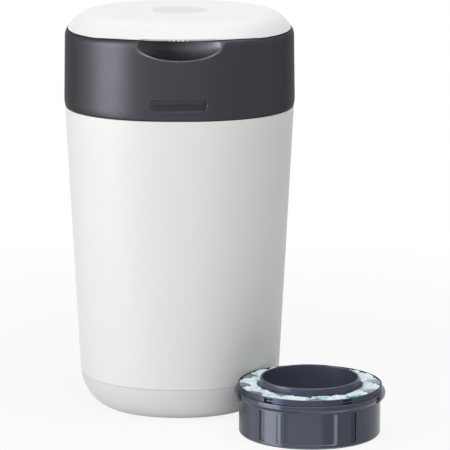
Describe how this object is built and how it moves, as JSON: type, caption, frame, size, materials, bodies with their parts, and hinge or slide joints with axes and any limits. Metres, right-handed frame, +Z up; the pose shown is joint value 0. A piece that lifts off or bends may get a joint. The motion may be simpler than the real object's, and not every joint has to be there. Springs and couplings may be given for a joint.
{
  "type": "nappy bin",
  "caption": "Upright nappy bin with a hinged head and lid, a twist dial over sprung throat grips, and a ring-shaped film cassette.",
  "frame": {"origin": "centre of the tub's flat underside, on the surface it stands on", "axes": "+Z up along the tub, +X to the right, the front with the finger recess faces -Y"},
  "size_m": [0.3685, 0.3688, 0.4652],
  "materials": {
    "tub_white": "satin moulded plastic",
    "base_white": "satin moulded plastic",
    "foot_rubber": "matte",
    "hinge_steel": "plain drawn pin",
    "head_grey": "satin moulded plastic",
    "badge_grey": "smooth, left blank",
    "mechanism_grey": "satin moulded plastic",
    "screw_steel": "plated",
    "spring_steel": "drawn",
    "blade_steel": "ground edge",
    "lid_white": "smooth moulded plastic",
    "liner_white": "satin moulded plastic",
    "seal_rubber": "matte",
    "cradle_grey": "satin moulded plastic",
    "dial_grey": "satin moulded plastic",
    "click_grey": "satin moulded plastic",
    "grip_grey": "satin moulded plastic",
    "cassette_blue_grey": "slightly glossy moulded plastic",
    "cassette_ring_grey": "slightly glossy moulded plastic",
    "film_mint": "thin crumpled plastic film"
  },
  "bodies": {
    "tub": {"tub_shell": "tub_white", "base_cap": "base_white", "foot_pads": "foot_rubber", "head_hinge_pin": "hinge_steel"},
    "head": {"head_shell": "head_grey", "badge_plate": "badge_grey", "cassette_well": "mechanism_grey", "well_screws": "screw_steel", "click_spring": "spring_steel", "grip_carrier": "mechanism_grey", "grip_pins": "hinge_steel", "grip_springs": "spring_steel", "cutter_guard": "mechanism_grey", "cutter_blade": "blade_steel", "lid_hinge_pin": "hinge_steel"},
    "lid": {"lid_shell": "lid_white", "lid_liner": "liner_white", "lid_seal": "seal_rubber"},
    "dial": {"cassette_cradle": "cradle_grey", "twist_ring": "dial_grey", "click_ring": "click_grey"},
    "throat_grip_front": {"throat_grip_front": "grip_grey"},
    "throat_grip_right": {"throat_grip_right": "grip_grey"},
    "throat_grip_back": {"throat_grip_back": "grip_grey"},
    "throat_grip_left": {"throat_grip_left": "grip_grey"},
    "cassette": {"cassette_cup": "cassette_blue_grey", "cassette_top_ring": "cassette_ring_grey", "cassette_core": "cassette_blue_grey", "cassette_film": "film_mint"}
  },
  "joints": [
    {"name": "head_hinge", "type": "hinge", "parent": "tub", "child": "head", "pos_m": [0, 0.139, 0.356], "axis": [-1, 0, 0], "range_deg": [0, 95]},
    {"name": "lid_hinge", "type": "hinge", "parent": "head", "child": "lid", "pos_m": [0, 0.1352, 0.4456], "axis": [-1, 0, 0], "range_deg": [0, 100]},
    {"name": "dial_turn", "type": "hinge", "parent": "head", "child": "dial", "pos_m": [0, 0, 0.4356], "axis": [0, 0, 1], "continuous": true},
    {"name": "grip_front_pivot", "type": "hinge", "parent": "head", "child": "throat_grip_front", "pos_m": [0, -0.066, 0.3617], "axis": [-1, 0, 0], "range_deg": [0, 60], "stiffness_Nm_per_rad": 0.02, "springref_deg": -20.05},
    {"name": "grip_right_pivot", "type": "hinge", "parent": "head", "child": "throat_grip_right", "pos_m": [0.066, 0, 0.3617], "axis": [0, -1, 0], "range_deg": [0, 60], "stiffness_Nm_per_rad": 0.02, "springref_deg": -20.05},
    {"name": "grip_back_pivot", "type": "hinge", "parent": "head", "child": "throat_grip_back", "pos_m": [0, 0.066, 0.3617], "axis": [1, 0, 0], "range_deg": [0, 60], "stiffness_Nm_per_rad": 0.02, "springref_deg": -20.05},
    {"name": "grip_left_pivot", "type": "hinge", "parent": "head", "child": "throat_grip_left", "pos_m": [-0.066, 0, 0.3617], "axis": [0, 1, 0], "range_deg": [0, 60], "stiffness_Nm_per_rad": 0.02, "springref_deg": -20.05},
    {"name": "cassette_lift", "type": "slide", "parent": "tub", "child": "cassette", "axis": [0.5942, -0.5639, 0.5736], "range_m": [0, 0.2]}
  ]
}
